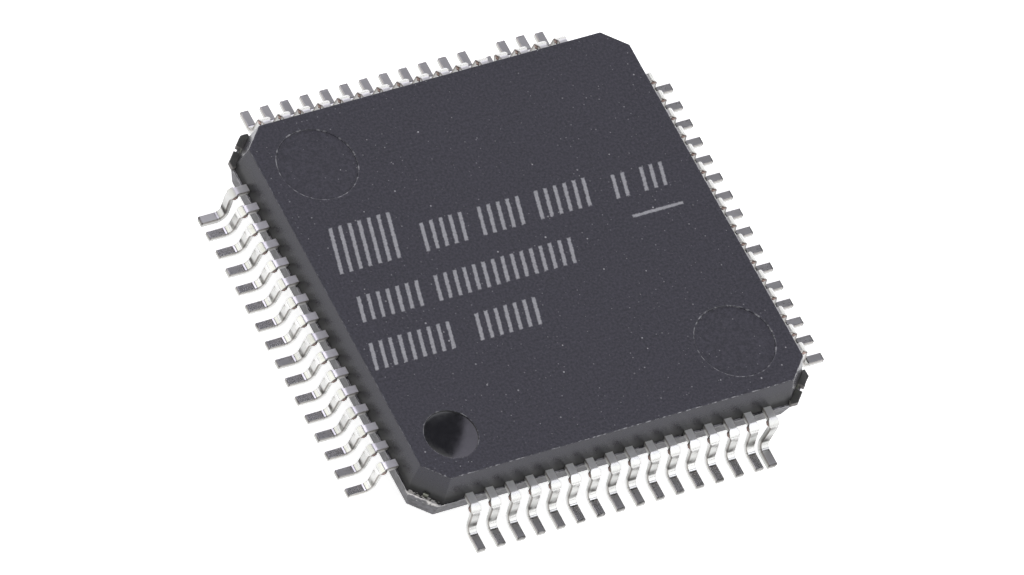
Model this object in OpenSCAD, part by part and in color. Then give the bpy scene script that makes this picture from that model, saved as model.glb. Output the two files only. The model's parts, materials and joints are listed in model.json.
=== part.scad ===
// Quad flat pack: a moulded chip package with 64 formed gull-wing leads.
// Frame: origin on the seating plane at the centre, +Z up, pin 1 at the -X -Y corner.
// The pins count anticlockwise from above: front (-Y), right (+X), rear (+Y), left (-X).

/* [Moulded body] */
// Width and depth of the body at its parting line
body_w = 10; // [9.7:0.05:10.2]
// Height of the half below the leads
lower_h = 0.64; // [0.6:0.01:0.68]
// Height of the half above the underside of the leads
upper_h = 0.76; // [0.72:0.01:0.82]
// Air gap between the body and the board
standoff_h = 0.07; // [0.05:0.01:0.15]
// Draft of the walls above the parting line, in degrees
upper_draft = 12; // [10:0.5:14]
// Draft of the walls below the parting line, in degrees
lower_draft = 15; // [11:0.5:17]
// How far the upper half steps in at the parting line
parting_step = 0.025; // [0.01:0.005:0.05]
// Leg of the corner chamfers on the top face
corner_chamfer = 0.5; // [0.4:0.05:0.6]
// How far the lower half stands out at each chamfered corner
corner_step = 0.075; // [0.04:0.005:0.1]

/* [Corner webs] */
// How far the resin webs at lead level stand out from the lower half's sides
web_out = 0.05; // [0.02:0.01:0.08]
// How far the webs stand out at the chamfers
web_corner_out = 0.065; // [0.04:0.005:0.09]
// Length of each web along a side
web_l = 0.72; // [0.6:0.02:0.8]
// Width of the notch where a tie bar was cut
notch_w = 0.16; // [0.15:0.01:0.2]

/* [Mould marks] */
// Diameter of the ejector pin marks
ejector_d = 1.82; // [1.4:0.02:2]
// Depth of the ejector pin marks
ejector_depth = 0.03; // [0.02:0.005:0.05]
// Distance of the ejector pin marks from each centre line
ejector_at = 3.5; // [3.3:0.05:3.6]
// Diameter of the pin 1 dimple
dimple_d = 1.22; // [0.8:0.02:1.3]
// Straight depth of the pin 1 dimple
dimple_depth = 0.04; // [0.02:0.01:0.06]
// Extra depth of the dished floor at its middle
dimple_dish = 0.07; // [0.03:0.01:0.1]
// Distance of the dimple from each centre line
dimple_at = 3.785; // [3.6:0.005:3.85]

/* [Leads outside the body] */
// Leads on each side
side_leads = 16; // [14:2:16]
// Distance from one lead to the next
pitch = 0.5; // [0.49:0.01:0.5]
// Width of a lead
lead_w = 0.2; // [0.17:0.01:0.24]
// Thickness of the lead frame strip
lead_t = 0.127; // [0.12:0.001:0.14]
// How far the leads reach out from the body's widest line
lead_reach = 1; // [0.95:0.01:1.1]
// Flat length of a foot
foot_l = 0.38; // [0.34:0.01:0.42]
// Lean of the legs from upright, in degrees
leg_lean = 6; // [2:1:10]
// Middle radius of the bend at the shoulder
shoulder_r = 0.187; // [0.15:0.005:0.2]
// Middle radius of the bend at the heel
heel_r = 0.223; // [0.18:0.005:0.24]
// Where the stubs of the cut dam bar begin, in degrees round the bend at the shoulder
dambar_from = 17; // [12:1:25]
// How far the stubs run on round the bend, in degrees
dambar_turn = 47; // [38:1:52]
// How far the stubs stand out from the sides of the lead
dambar_out = 0.03; // [0.02:0.005:0.04]

/* [Leads inside the body] */
// Distance between the inner lead tips along a side
inner_pitch = 0.34; // [0.32:0.01:0.35]
// Width of a lead at its inner tip
inner_w = 0.17; // [0.14:0.01:0.18]
// Distance of the inner tips from the centre
inner_tip_at = 3.1; // [3.05:0.05:3.2]
// Length of the straight inner ends, where the wires are bonded
inner_straight = 0.35; // [0.25:0.05:0.4]
// Length of straight lead between the fan and the body's wall
outer_straight = 0.4; // [0.3:0.05:0.5]

/* [Die and die pad] */
// Width of the square die pad
pad_w = 5.4; // [5:0.1:5.5]
// How far the pad sits below the lead plane
pad_downset = 0.2; // [0.16:0.01:0.24]
// Width of the four tie bars
tie_w = 0.12; // [0.1:0.01:0.14]
// How far the cut ends of the tie bars stand out at the corners
tie_out = 0.02; // [0.01:0.005:0.04]
// Run of the sloped part of a tie bar
tie_slope_l = 0.3; // [0.25:0.05:0.4]
// Width of the square silicon die
die_w = 3.6; // [3:0.1:4]
// Thickness of the silicon die
die_t = 0.28; // [0.25:0.01:0.3]
// Thickness of the silver epoxy under the die
attach_t = 0.03; // [0.03:0.005:0.05]

/* [Bond wires] */
// Diameter of the gold wire
wire_d = 0.025; // [0.025:0.001:0.03]
// Diameter of the ball bonded to the die
ball_d = 0.07; // [0.06:0.005:0.08]
// Height of the ball
ball_h = 0.02; // [0.015:0.005:0.03]
// Distance between bond pads along the die's edge
bond_pitch = 0.2; // [0.17:0.01:0.22]
// Distance of the bond pads in from the die's edge
bond_inset = 0.1; // [0.08:0.01:0.15]
// Straight rise of a wire above its ball
wire_rise = 0.09; // [0.06:0.01:0.12]
// Radius of the wire's loop above the ball
wire_loop_r = 0.06; // [0.05:0.01:0.08]
// How far in from its tip a lead is bonded
stitch_inset = 0.15; // [0.1:0.01:0.2]

/* [Hidden] */
SIDES = ["front", "right", "rear", "left"];
// Leads pushed out of line: [pin, shift along the side, shift outwards] of the foot
BENT = [[16, -0.17, 0], [33, 0.045, -0.045], [36, 0, -0.32], [49, 0.09, 0]];
resin = [0.20, 0.20, 0.22];
tin = [0.72, 0.72, 0.70];
copper = [0.72, 0.45, 0.31];
gold = [0.85, 0.68, 0.28];
silicon = [0.36, 0.38, 0.44];
epoxy = [0.62, 0.62, 0.64];

parting_z = standoff_h + lower_h;
body_top = parting_z + upper_h;
body_low_half = body_w / 2;
body_up_half = body_low_half - parting_step;
top_half = body_up_half - upper_h * tan(upper_draft);
base_half = body_low_half - lower_h * tan(lower_draft);
// Distances of the corner chamfers from the centre, measured along the diagonal
top_corner = (2 * top_half - corner_chamfer) / sqrt(2);
up_corner = top_corner + upper_h * tan(upper_draft);
low_corner = up_corner + corner_step;
base_corner = low_corner - lower_h * tan(lower_draft);

tip_at = body_low_half + lead_reach;
tie_end = up_corner + tie_out;
lead_z = parting_z + lead_t / 2;
leg_turn = 90 - leg_lean;
leg_drop = lead_z - lead_t / 2 - (shoulder_r + heel_r) * (1 - cos(leg_turn));
leg_l = leg_drop / sin(leg_turn);
heel_run = (shoulder_r + heel_r) * sin(leg_turn) + leg_l * cos(leg_turn);
shoulder_end = tip_at - foot_l - heel_run;
wall_at_lead = body_up_half - lead_t * tan(upper_draft);
fan_end = wall_at_lead - outer_straight;
bend_steps = 8;
wire_sides = 6;
wire_steps = 2;
pins = 4 * side_leads;

pad_z = parting_z - pad_downset;
pad_corner = pad_w / sqrt(2);
die_z = pad_z + lead_t + attach_t;
die_top = die_z + die_t;
lead_top = parting_z + lead_t;
wire_top = die_top + ball_h / 2 + wire_rise;

function two(n) = n < 10 ? str("0", n) : str(n);
function pair_name(k) = str("leads_", two(2 * k + 1), "_", two(2 * k + 2));

// Place of the i-th copy along a side, for copies a given distance apart
function along(i, gap) = (i - (side_leads - 1) / 2) * gap;

// Stations of the lead's middle line: [distance out, height, slope below level]
function bend_out() = [
    for (k = [0 : bend_steps])
        let (a = leg_turn * k / bend_steps)
            [shoulder_end + shoulder_r * sin(a), lead_z - shoulder_r * (1 - cos(a)), a]
];
function leg_and_foot(top) = concat(
    [top],
    [
        for (k = [0 : bend_steps])
            let (a = leg_turn * (1 - k / bend_steps))
                [
                    top[0] + leg_l * cos(leg_turn) + heel_r * (sin(leg_turn) - sin(a)),
                    top[1] - leg_l * sin(leg_turn) - heel_r * (cos(a) - cos(leg_turn)),
                    a
                ]
    ],
    [[tip_at, lead_t / 2, 0]]
);
leg_start = bend_out()[bend_steps];
shoulder_path = concat([[0, lead_z, 0]], bend_out());
leg_path = leg_and_foot(leg_start);
lead_path = concat(shoulder_path, [for (k = [1 : len(leg_path) - 1]) leg_path[k]]);

// The strip's upper face (side = 1) or lower face (side = -1) at a station
function face_point(p, side) = [
    p[0] + side * lead_t / 2 * sin(p[2]),
    p[1] + side * lead_t / 2 * cos(p[2])
];
function strip_outline(path) = concat(
    [for (p = path) face_point(p, 1)],
    [for (k = [len(path) - 1 : -1 : 0]) face_point(path[k], -1)]
);

// Half of a lead's outline from above, from its inner tip outwards: [across, out]
function lead_edge(i, side) =
    let (u = along(i, pitch), v = along(i, inner_pitch))
    [
        [v + side * inner_w / 2, inner_tip_at],
        [v + side * inner_w / 2, inner_tip_at + inner_straight],
        [u + side * lead_w / 2, fan_end],
        [u + side * lead_w / 2, tip_at]
    ];
function lead_outline(i) =
    let (left = lead_edge(i, -1), right = lead_edge(i, 1))
    concat(right, [for (k = [len(left) - 1 : -1 : 0]) left[k]]);

// Lays out a part of one side, drawn with +Y pointing outwards, on side number s
module on_side(s) {
    rotate([0, 0, 90 * s + 180]) mirror([1, 0, 0]) children();
}

// Extrudes an [out, up] outline across a side, w wide about the side's middle
module across_side(w) {
    rotate([90, 0, 90]) translate([0, 0, -w / 2]) linear_extrude(w) children();
}

// The space that a stamped lead fills, seen from above, as tall as the package
module lead_blank(i) {
    translate([0, 0, -lead_t]) linear_extrude(body_top) polygon(lead_outline(i));
}

// The wider space round the bend, where the stubs of the cut dam bar are
module dambar_space(i) {
    centre = [shoulder_end, lead_z - shoulder_r];
    reach = shoulder_r + lead_t;
    turns = [dambar_from, dambar_from + dambar_turn];
    translate([along(i, pitch), 0, 0]) across_side(lead_w + 2 * dambar_out)
        polygon(concat([centre], [for (a = turns) centre + reach * [sin(a), cos(a)]]));
}

// A lead as formed: the stamped outline following a side-on profile
module formed_lead(i, profile) {
    intersection() {
        union() {
            lead_blank(i);
            dambar_space(i);
        }
        across_side(body_w) polygon(strip_outline(profile));
    }
}

// A leg and foot whose foot was pushed along the side and outwards
module bent_leg(i, along_side, outwards) {
    drop = leg_start[1] - lead_t / 2;
    rings = [
        for (p = leg_path)
            let (
                q = (leg_start[1] - p[1]) / drop,
                x = along(i, pitch) + along_side * q,
                hi = face_point(p, 1),
                lo = face_point(p, -1),
                y = outwards * q
            )
            [
                [x - lead_w / 2, hi[0] + y, hi[1]],
                [x + lead_w / 2, hi[0] + y, hi[1]],
                [x + lead_w / 2, lo[0] + y, lo[1]],
                [x - lead_w / 2, lo[0] + y, lo[1]]
            ]
    ];
    tube(rings);
}

// A closed tube through rings that all have the same number of points
module tube(rings) {
    n = len(rings[0]);
    last = (len(rings) - 1) * n;
    faces = concat(
        [[for (k = [0 : n - 1]) k]],
        [
            for (j = [0 : len(rings) - 2], k = [0 : n - 1])
                [j * n + k, (j + 1) * n + k, (j + 1) * n + (k + 1) % n]
        ],
        [
            for (j = [0 : len(rings) - 2], k = [0 : n - 1])
                [j * n + k, (j + 1) * n + (k + 1) % n, j * n + (k + 1) % n]
        ],
        [[for (k = [n - 1 : -1 : 0]) last + k]]
    );
    polyhedron(points = [for (r = rings, p = r) p], faces = faces);
}

module bent_lead(i, along_side, outwards) {
    formed_lead(i, shoulder_path);
    bent_leg(i, along_side, outwards);
}

// Lead number pin, counted from 1
module lead(pin) {
    i = (pin - 1) % side_leads;
    bend = [for (b = BENT) if (b[0] == pin) b];
    on_side(floor((pin - 1) / side_leads)) {
        if (len(bend) == 0) formed_lead(i, lead_path);
        else bent_lead(i, bend[0][1], bend[0][2]);
    }
}

module lead_pair(k) {
    color(tin) {
        lead(2 * k + 1);
        lead(2 * k + 2);
    }
}

// A block whose section is the same [out, up] outline in two directions
module cross_block(outline, turn) {
    rotate([0, 0, turn]) intersection() {
        across_side(2 * body_w) polygon(outline);
        rotate([0, 0, 90]) across_side(2 * body_w) polygon(outline);
    }
}

// Outline of both drafted halves, from their half widths at four levels
function halves_outline(base, low, up, top) = [
    [-base, standoff_h], [base, standoff_h],
    [low, parting_z], [up, parting_z],
    [top, body_top], [-top, body_top],
    [-up, parting_z], [-low, parting_z]
];

module drafted_halves() {
    intersection() {
        cross_block(halves_outline(base_half, body_low_half, body_up_half, top_half), 0);
        cross_block(halves_outline(base_corner, low_corner, up_corner, top_corner), 45);
    }
}

// A thin resin web round a chamfered corner, at lead level, notched for its tie bar. The
// web at the pin 1 corner has broken off.
module corner_webs() {
    half = body_low_half + web_out;
    reach = low_corner + web_corner_out;
    for (turn = [-90 : 90 : 90]) rotate([0, 0, turn])
        translate([0, 0, parting_z]) linear_extrude(lead_t) difference() {
            intersection() {
                translate([half - web_l, half - web_l]) square(web_l);
                rotate(45) square(2 * reach, center = true);
            }
            rotate(45) translate([up_corner, -notch_w / 2]) square([reach, notch_w]);
        }
}

module ejector_mark(x, y, z) {
    translate([x, y, z - ejector_depth]) cylinder(h = 2 * ejector_depth, d = ejector_d, $fn = 64);
}

module pin_1_dimple() {
    dish_r = (pow(dimple_d / 2, 2) + pow(dimple_dish, 2)) / (2 * dimple_dish);
    floor_z = body_top - dimple_depth;
    translate([-dimple_at, -dimple_at, 0]) {
        translate([0, 0, floor_z]) cylinder(h = 2 * dimple_depth, d = dimple_d, $fn = 64);
        intersection() {
            translate([0, 0, floor_z + dish_r - dimple_dish]) sphere(r = dish_r, $fn = 96);
            translate([0, 0, floor_z - 2 * dimple_dish])
                cylinder(h = 2 * dimple_dish, d = dimple_d, $fn = 64);
        }
    }
}

// What the resin was moulded round
module buried_parts() {
    for (s = [0 : 3]) on_side(s) {
        for (i = [0 : side_leads - 1])
            translate([0, 0, parting_z]) linear_extrude(lead_t) polygon(lead_outline(i));
    }
    pad_frame();
    attach_layer();
    die_block();
    for (s = [0 : 3]) side_wires(s);
}

module moulded_body() {
    color(resin) difference() {
        union() {
            drafted_halves();
            corner_webs();
        }
        buried_parts();
        ejector_mark(-ejector_at, ejector_at, body_top);
        ejector_mark(ejector_at, -ejector_at, body_top);
        ejector_mark(-ejector_at, ejector_at, standoff_h);
        ejector_mark(ejector_at, -ejector_at, standoff_h);
        pin_1_dimple();
    }
}

// Side-on outline of a tie bar along a diagonal: up from the pad to the lead plane
function tie_outline() =
    let (foot = pad_corner + tie_w, head = foot + tie_slope_l)
    [
        [pad_corner - tie_w, pad_z], [foot, pad_z],
        [head, parting_z], [tie_end, parting_z],
        [tie_end, lead_top], [head, lead_top],
        [foot, pad_z + lead_t], [pad_corner - tie_w, pad_z + lead_t]
    ];

module pad_frame() {
    translate([-pad_w / 2, -pad_w / 2, pad_z]) cube([pad_w, pad_w, lead_t]);
    for (turn = [45 : 90 : 315]) rotate([0, 0, turn]) across_side(tie_w) polygon(tie_outline());
}

module die_pad() {
    color(copper) pad_frame();
}

module attach_layer() {
    translate([-die_w / 2, -die_w / 2, pad_z + lead_t]) cube([die_w, die_w, attach_t]);
}

module die_attach() {
    color(epoxy) attach_layer();
}

module die_block() {
    translate([-die_w / 2, -die_w / 2, die_z]) cube([die_w, die_w, die_t]);
}

module silicon_die() {
    color(silicon) die_block();
}

// A ring of the wire in its own upright plane: [run, height], radius, turn away from upright
function wire_ring(at, r, turn) = [
    for (k = [0 : wire_sides - 1])
        let (a = 360 * k / wire_sides)
            [
                at[0] - r * cos(a) * cos(turn),
                -r * sin(a),
                at[1] + r * cos(a) * sin(turn)
            ]
];
// The wire's last ring, slid along its slope until it lies flat on the leads
function wire_end(at, slope) = [
    for (p = wire_ring(at, wire_d / 2, 90 + slope))
        [p[0] + (p[2] - lead_top) / tan(slope), p[1], lead_top]
];

// One wire: ball on the die, rise, loop, then a straight run down to the lead
module bond_wire(i) {
    start = [along(i, bond_pitch), die_w / 2 - bond_inset];
    end = [along(i, inner_pitch), inner_tip_at + stitch_inset];
    run = norm(end - start);
    // The slope of the run that leaves the loop and ends on the lead's top
    fall = wire_top - lead_top;
    reach = run - wire_loop_r;
    slope = atan2(fall, reach) + asin(wire_loop_r / norm([fall, reach]));
    ball_top = die_top + ball_h;
    rings = concat(
        [wire_ring([0, die_top], ball_d / 2, 0)],
        [wire_ring([0, ball_top], ball_d / 2, 0)],
        [wire_ring([0, ball_top], wire_d / 2, 0)],
        [
            for (k = [0 : wire_steps])
                let (a = (90 + slope) * k / wire_steps)
                    wire_ring(
                        [wire_loop_r * (1 - cos(a)), wire_top + wire_loop_r * sin(a)],
                        wire_d / 2,
                        a
                    )
        ],
        [wire_end([run, lead_top], slope)]
    );
    translate([start[0], start[1], 0])
        rotate([0, 0, atan2(end[1] - start[1], end[0] - start[0])])
            tube(rings);
}

module side_wires(s) {
    on_side(s) for (i = [0 : side_leads - 1]) bond_wire(i);
}

module bond_wires(s) {
    color(gold) side_wires(s);
}

moulded_body();
die_pad();
die_attach();
silicon_die();
for (s = [0 : 3])
    bond_wires(s);
for (k = [0 : pins / 2 - 1])
    lead_pair(k);
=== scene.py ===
# Quad flat pack chip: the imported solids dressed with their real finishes, on a white sheet.
# Lengths are in millimetres in the working values and turn to metres where a mesh is made.
import json
import math

import bmesh
import bpy
from mathutils import Matrix, Vector, noise


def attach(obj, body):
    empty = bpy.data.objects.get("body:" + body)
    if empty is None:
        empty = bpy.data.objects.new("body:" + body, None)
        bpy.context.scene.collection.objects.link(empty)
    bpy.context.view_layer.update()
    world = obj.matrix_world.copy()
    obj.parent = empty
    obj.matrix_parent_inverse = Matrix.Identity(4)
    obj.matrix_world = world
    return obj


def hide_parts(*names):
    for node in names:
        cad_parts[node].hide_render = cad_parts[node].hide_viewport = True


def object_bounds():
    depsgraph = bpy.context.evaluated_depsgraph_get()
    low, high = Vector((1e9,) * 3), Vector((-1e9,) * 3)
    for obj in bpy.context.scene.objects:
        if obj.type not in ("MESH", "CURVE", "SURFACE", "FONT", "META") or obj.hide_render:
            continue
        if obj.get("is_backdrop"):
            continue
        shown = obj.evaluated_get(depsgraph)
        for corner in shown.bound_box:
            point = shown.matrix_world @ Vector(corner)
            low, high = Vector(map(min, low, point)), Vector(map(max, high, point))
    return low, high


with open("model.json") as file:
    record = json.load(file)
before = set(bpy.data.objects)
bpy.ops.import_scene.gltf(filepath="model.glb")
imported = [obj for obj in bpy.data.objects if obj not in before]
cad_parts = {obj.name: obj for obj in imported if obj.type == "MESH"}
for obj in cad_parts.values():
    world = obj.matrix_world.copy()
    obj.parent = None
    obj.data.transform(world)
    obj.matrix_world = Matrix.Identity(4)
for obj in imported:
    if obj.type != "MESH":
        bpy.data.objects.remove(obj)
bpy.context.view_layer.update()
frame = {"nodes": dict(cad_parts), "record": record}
scene = bpy.context.scene
scene.view_settings.view_transform = "Standard"

# ---------------------------------------------------------------- White sheet
# The chip lies on a large sheet of white acrylic that is lit a little from below,
# so that its shadow stays soft and pale.
MM = 0.001
SHEET_HALF = 1500.0


def linear(code):
    """An sRGB hex colour as the linear RGBA that the shaders take."""
    parts = [int(code[i : i + 2], 16) / 255 for i in (1, 3, 5)]
    lin = [c / 12.92 if c <= 0.04045 else ((c + 0.055) / 1.055) ** 2.4 for c in parts]
    return (*lin, 1.0)


def add(tree, kind, links=None, **settings):
    """Adds a node. Each entry of links is a value or another node's socket for one input."""
    node = tree.nodes.new(kind)
    for name, value in settings.items():
        setattr(node, name, value)
    for name, value in (links or {}).items():
        if isinstance(value, bpy.types.NodeSocket):
            tree.links.new(value, node.inputs[name])
        else:
            node.inputs[name].default_value = value
    return node


def new_material(name):
    """An empty material with its output, as (material, tree, output)."""
    made = bpy.data.materials.new(name)
    made.use_nodes = True
    made.node_tree.nodes.clear()
    return made, made.node_tree, add(made.node_tree, "ShaderNodeOutputMaterial")


def mesh_object(name, bm, materials):
    """A new object at the origin from a bmesh in millimetres."""
    bmesh.ops.scale(bm, vec=(MM, MM, MM), verts=bm.verts)
    mesh = bpy.data.meshes.new(name)
    bm.to_mesh(mesh)
    bm.free()
    for material in materials:
        mesh.materials.append(material)
    made = bpy.data.objects.new(name, mesh)
    scene.collection.objects.link(made)
    return made


# White acrylic: matt, very pale, and evenly lit from below
white_sheet, tree, out = new_material("white_acrylic_sheet")
surface = add(
    tree,
    "ShaderNodeBsdfPrincipled",
    {
        "Base Color": linear("#EDEDEC"),
        "Roughness": 0.7,
        "Emission Color": linear("#FFFFFF"),
        "Emission Strength": 0.78,
    },
)
tree.links.new(surface.outputs[0], out.inputs[0])
bm = bmesh.new()
bmesh.ops.create_grid(bm, x_segments=8, y_segments=8, size=SHEET_HALF)
mesh_object("white_sheet", bm, [white_sheet])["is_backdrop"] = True

# ---------------------------------------------------------------- Studio light
# A tent of white cloth stands low all round the sheet, open overhead, where it is dark.
# Broad soft boxes reach up into the opening. Angles are in degrees, turned from +X.
CLOTH = linear("#FFFFFF")
# Height and radiance of the tent
TENT = [(-1, 0.3), (1.5, 0.3), (4, 1.3), (27, 1.3), (32, 0.07), (90, 0.07)]
TENT_FROM, TENT_TO = -5, 95
# Turn and height of the middle, half spread of each, lean, radiance and colour
SOFT_BOXES = [
    ((87.5, 54), (28, 26), 0.30, 1.7, linear("#F1EDFF")),
    ((-17, 54), (23, 22), 0.0, 1.6, linear("#F7F8FF")),
    ((150, 42), (20, 18), 0.0, 1.3, linear("#FFFFF7")),
    ((-62, 40), (22, 20), 0.0, 1.6, linear("#FDFEFF")),
]
SOFT_EDGE = math.radians(2)
world = bpy.data.worlds.new("light_tent")
scene.world = world
world.use_nodes = True
tree = world.node_tree
tree.nodes.clear()
direction = add(tree, "ShaderNodeTexCoord")
towards = add(tree, "ShaderNodeSeparateXYZ", {0: direction.outputs["Generated"]})
turned = add(
    tree, "ShaderNodeMath", {0: towards.outputs[1], 1: towards.outputs[0]}, operation="ARCTAN2"
)
raised = add(tree, "ShaderNodeMath", {0: towards.outputs[2]}, operation="ARCSINE")
up_tent = add(
    tree,
    "ShaderNodeMapRange",
    {0: raised.outputs[0], 1: math.radians(TENT_FROM), 2: math.radians(TENT_TO)},
)
tent = add(tree, "ShaderNodeValToRGB", {0: up_tent.outputs[0]})
ramp = tent.color_ramp
while len(ramp.elements) < len(TENT):
    ramp.elements.new(0.5)
for stop, (angle, level) in zip(ramp.elements, TENT):
    stop.position = (angle - TENT_FROM) / (TENT_TO - TENT_FROM)
    stop.color = (*(level * c for c in CLOTH[:3]), 1.0)
light = tent.outputs[0]
for (middle_turn, height), spread, lean, radiance, colour in SOFT_BOXES:
    # A box that leans turns by that much of its height
    upright_turn = add(
        tree,
        "ShaderNodeMath",
        {0: raised.outputs[0], 1: -lean, 2: turned.outputs[0]},
        operation="MULTIPLY_ADD",
    )
    middle = (middle_turn - lean * height, height)
    inside = None
    for angle, centre, half in zip((upright_turn, raised), middle, spread):
        off = add(
            tree,
            "ShaderNodeMath",
            {0: angle.outputs[0], 1: math.radians(centre)},
            operation="SUBTRACT",
        )
        off = add(tree, "ShaderNodeMath", {0: off.outputs[0]}, operation="ABSOLUTE")
        held = add(
            tree,
            "ShaderNodeMapRange",
            {0: off.outputs[0], 1: math.radians(half) + SOFT_EDGE, 2: math.radians(half)},
            interpolation_type="SMOOTHSTEP",
        )
        if inside is None:
            inside = held
        else:
            inside = add(
                tree,
                "ShaderNodeMath",
                {0: inside.outputs[0], 1: held.outputs[0]},
                operation="MULTIPLY",
            )
    lit = (*(radiance * c for c in colour[:3]), 1.0)
    with_box = add(
        tree,
        "ShaderNodeMix",
        {0: inside.outputs[0], 6: light, 7: lit},
        data_type="RGBA",
    )
    light = with_box.outputs[2]
glow = add(tree, "ShaderNodeBackground", {"Color": light})
add(tree, "ShaderNodeOutputWorld", {0: glow.outputs[0]})

# ---------------------------------------------------------------- Camera
# A long lens that looks down on the pin 1 corner from a third of a metre, tilted and
# rolled a little. Its place is in millimetres.
CAMERA_AT = (-146.799, -141.744, 267.293)
CAMERA_RIGHT = Vector((0.865917, -0.436482, 0.244276))
CAMERA_UP = Vector((0.243903, 0.794837, 0.555649))
FOCAL_LENGTH = 539.6
lens = bpy.data.cameras.new("camera")
lens.lens = FOCAL_LENGTH
lens.clip_start, lens.clip_end = 0.01, 10.0
camera = bpy.data.objects.new("camera", lens)
camera.location = Vector(CAMERA_AT) * MM
aim = Matrix((CAMERA_RIGHT, CAMERA_UP, CAMERA_RIGHT.cross(CAMERA_UP))).transposed()
camera.rotation_euler = aim.to_euler()
scene.collection.objects.link(camera)
scene.camera = camera

# ---------------------------------------------------------------- Moulded body
# Black epoxy moulding compound, shot round the lead frame in a spark-eroded mould:
# finely grained outside, polished in the pin 1 dimple, with a ragged line where the
# two halves of the mould met. Resin leaked there into thin webs at the corners.
BASE_Z, PARTING_Z, TOP_Z = 0.07, 0.71, 1.47
LOW_HALF, UP_HALF = 5.0, 4.975
UP_DRAFT, LOW_DRAFT = math.radians(12), math.radians(15)
TOP_HALF = UP_HALF - (TOP_Z - PARTING_Z) * math.tan(UP_DRAFT)
TOP_CHAMFER = 0.5
UP_REACH = (2 * TOP_HALF - TOP_CHAMFER) / math.sqrt(2) + UP_HALF - TOP_HALF
LOW_REACH = UP_REACH + 0.075
TOP_EDGE_R, BASE_EDGE_R, CORNER_R = 0.015, 0.04, 0.03
# How far the flash stands out, and its coarse and fine lumps to the millimetre
FLASH, FLASH_LUMPS = 0.012, (9, 31)
LONG_STEPS, CHAMFER_STEPS, ARC_STEPS = 150, 12, 4
EJECTOR_AT, EJECTOR_R, EJECTOR_DEPTH = 3.5, 0.91, 0.03
DIMPLE_AT, DIMPLE_R, DIMPLE_DEPTH, DIMPLE_DISH, DISH_STEPS = 3.785, 0.61, 0.04, 0.07, 14
LEAD_T = 0.127


def body_loop(half, reach, z, ragged=0.0):
    """Points round the body at one height: a square with cut, slightly rounded corners."""
    k = reach * math.sqrt(2) - half
    corners = [Vector((half, -k)), Vector((half, k))]
    for _ in range(3):
        corners += [Vector((-p.y, p.x)) for p in corners[-2:]]
    points = []
    for n, here in enumerate(corners):
        before = (here - corners[n - 1]).normalized()
        after = (corners[(n + 1) % 8] - here).normalized()
        tangent = CORNER_R * math.tan(math.radians(22.5))
        out_start = Vector((before.y, -before.x))
        centre = here - before * tangent - out_start * CORNER_R
        for s in range(ARC_STEPS + 1):
            turn = Matrix.Rotation(math.radians(45 * s / ARC_STEPS), 2)
            points.append(centre + turn @ out_start * CORNER_R)
        start = here + after * tangent
        end = corners[(n + 1) % 8] - after * tangent
        steps = CHAMFER_STEPS if n % 2 else LONG_STEPS
        for s in range(1, steps):
            points.append(start.lerp(end, s / steps))
    loop = []
    for p in points:
        grow = 0.0
        if ragged:
            coarse, fine = (p * lumps for lumps in FLASH_LUMPS)
            rough = noise.noise(Vector((*coarse, z)))
            finer = noise.noise(Vector((*fine, z + 7)))
            grow = ragged * (0.5 + 0.6 * rough + 0.5 * finer)
        loop.append(Vector((p.x, p.y, z)) + Vector((p.x, p.y, 0)).normalized() * grow)
    return loop


def circle(x, y, z, radius, steps=96):
    """Points round a circle that lies level."""
    turns = [2 * math.pi * s / steps for s in range(steps)]
    return [Vector((x + radius * math.cos(t), y + radius * math.sin(t), z)) for t in turns]


def loft(bm, loops, material=0):
    """Joins loops of equal length with quads, and returns the first and last rows of vertices."""
    rows = [[bm.verts.new(p) for p in loop] for loop in loops]
    for low, high in zip(rows, rows[1:]):
        for a in range(len(low)):
            b = (a + 1) % len(low)
            face = bm.faces.new((low[a], low[b], high[b], high[a]))
            face.smooth = True
            face.material_index = material
    return rows[0], rows[-1]


def rim_edges(bm, row):
    """Edges of a closed row of vertices."""
    return [bm.edges.get((row[a - 1], row[a])) for a in range(len(row))]


bm = bmesh.new()
up_shift = math.tan(UP_DRAFT) * (TOP_Z - PARTING_Z)
low_shift = math.tan(LOW_DRAFT) * (PARTING_Z - BASE_Z)
loops = []
# Rounding between the base and the lower wall
sweep = math.pi / 2 - LOW_DRAFT
edge_in = BASE_EDGE_R * math.tan(sweep / 2)
for s in range(5):
    a = -math.pi / 2 + sweep * s / 4
    shift = -low_shift - edge_in + BASE_EDGE_R * math.cos(a)
    z = BASE_Z + BASE_EDGE_R * (1 + math.sin(a))
    loops.append(body_loop(LOW_HALF + shift, LOW_REACH + shift, z))
# Lower wall, with ragged flash along its top
for drop in (0.55, 0.3, 0.06):
    shift = -drop * math.tan(LOW_DRAFT)
    loops.append(body_loop(LOW_HALF + shift, LOW_REACH + shift, PARTING_Z - drop))
for drop, ragged in ((0.03, FLASH / 4), (0.012, FLASH / 2), (0.004, FLASH), (-0.004, FLASH)):
    shift = -drop * math.tan(LOW_DRAFT)
    loops.append(body_loop(LOW_HALF + shift, LOW_REACH + shift, PARTING_Z - drop, ragged))
loops.append(body_loop(LOW_HALF - 0.006, LOW_REACH - 0.006, PARTING_Z + 0.002, FLASH / 2))
loops.append(body_loop(UP_HALF + 0.006, UP_REACH + 0.006, PARTING_Z))
# Upper wall
for rise in (0.006, 0.014, 0.12, 0.3, 0.55, 0.7):
    shift = -rise * math.tan(UP_DRAFT)
    loops.append(body_loop(UP_HALF + shift, UP_REACH + shift, PARTING_Z + rise))
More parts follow.
